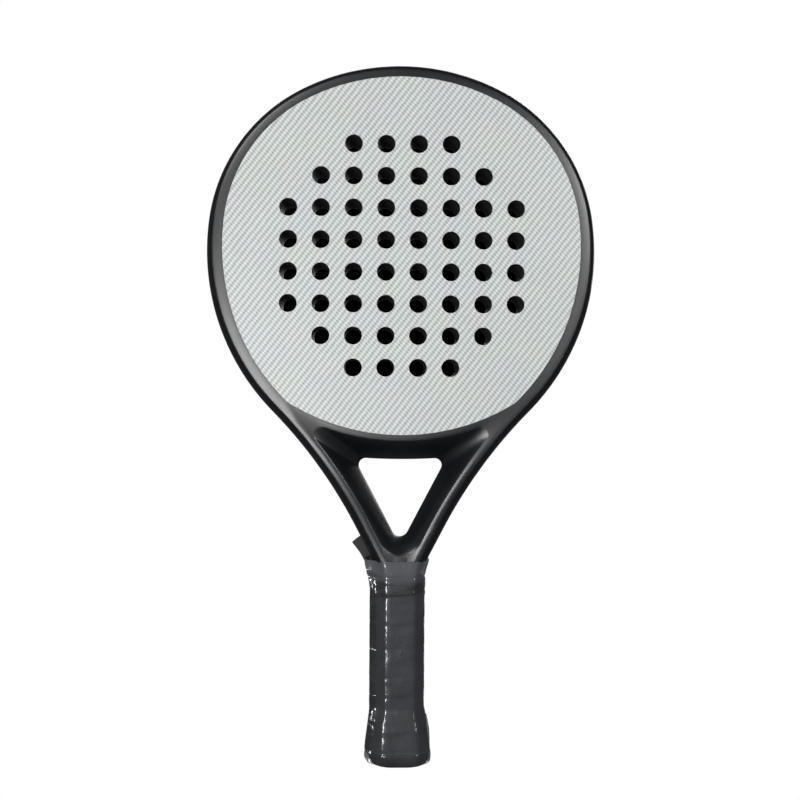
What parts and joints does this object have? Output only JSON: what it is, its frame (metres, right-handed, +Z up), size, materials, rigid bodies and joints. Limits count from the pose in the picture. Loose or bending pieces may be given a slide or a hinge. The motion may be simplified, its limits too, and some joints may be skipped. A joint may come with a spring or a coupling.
{
  "type": "padel racket",
  "caption": "Teardrop padel racket with a perforated foam-cored head, an open throat, a film-wrapped octagonal grip and a webbing wrist strap.",
  "frame": {"origin": "centre of the butt's foot, on the racket's centre line and midway through its thickness", "axes": "+Z up the racket from the butt to the head, the front face looks towards -Y, +X to the right as the front face is seen"},
  "size_m": [0.2538, 0.0426, 0.455],
  "materials": {
    "frame_composite": "satin black lacquer over moulded fibre laminate",
    "face_laminate": "silver-grey woven glass laminate under a thin satin resin",
    "foam": "black closed-cell foam",
    "pallet_foam": "hard moulded foam",
    "butt_rubber": "matt rubber",
    "staple_steel": "plain steel wire",
    "grip_wrap": "dark grey perforated cushion wrap",
    "tape": "satin tape",
    "webbing": "woven black webbing",
    "clear_film": "clear glossy shrink film"
  },
  "bodies": {
    "root": {"frame_tube": "frame_composite", "throat_bridge": "frame_composite", "bridge_foam": "foam", "core": "foam", "front_face": "face_laminate", "rear_face": "face_laminate", "handle_pallet": "pallet_foam", "butt_cap": "butt_rubber", "butt_staples": "staple_steel", "base_grip": "grip_wrap", "finishing_tape": "tape", "wrist_strap": "webbing", "strap_stop": "webbing", "shrink_film": "clear_film"}
  },
  "joints": []
}
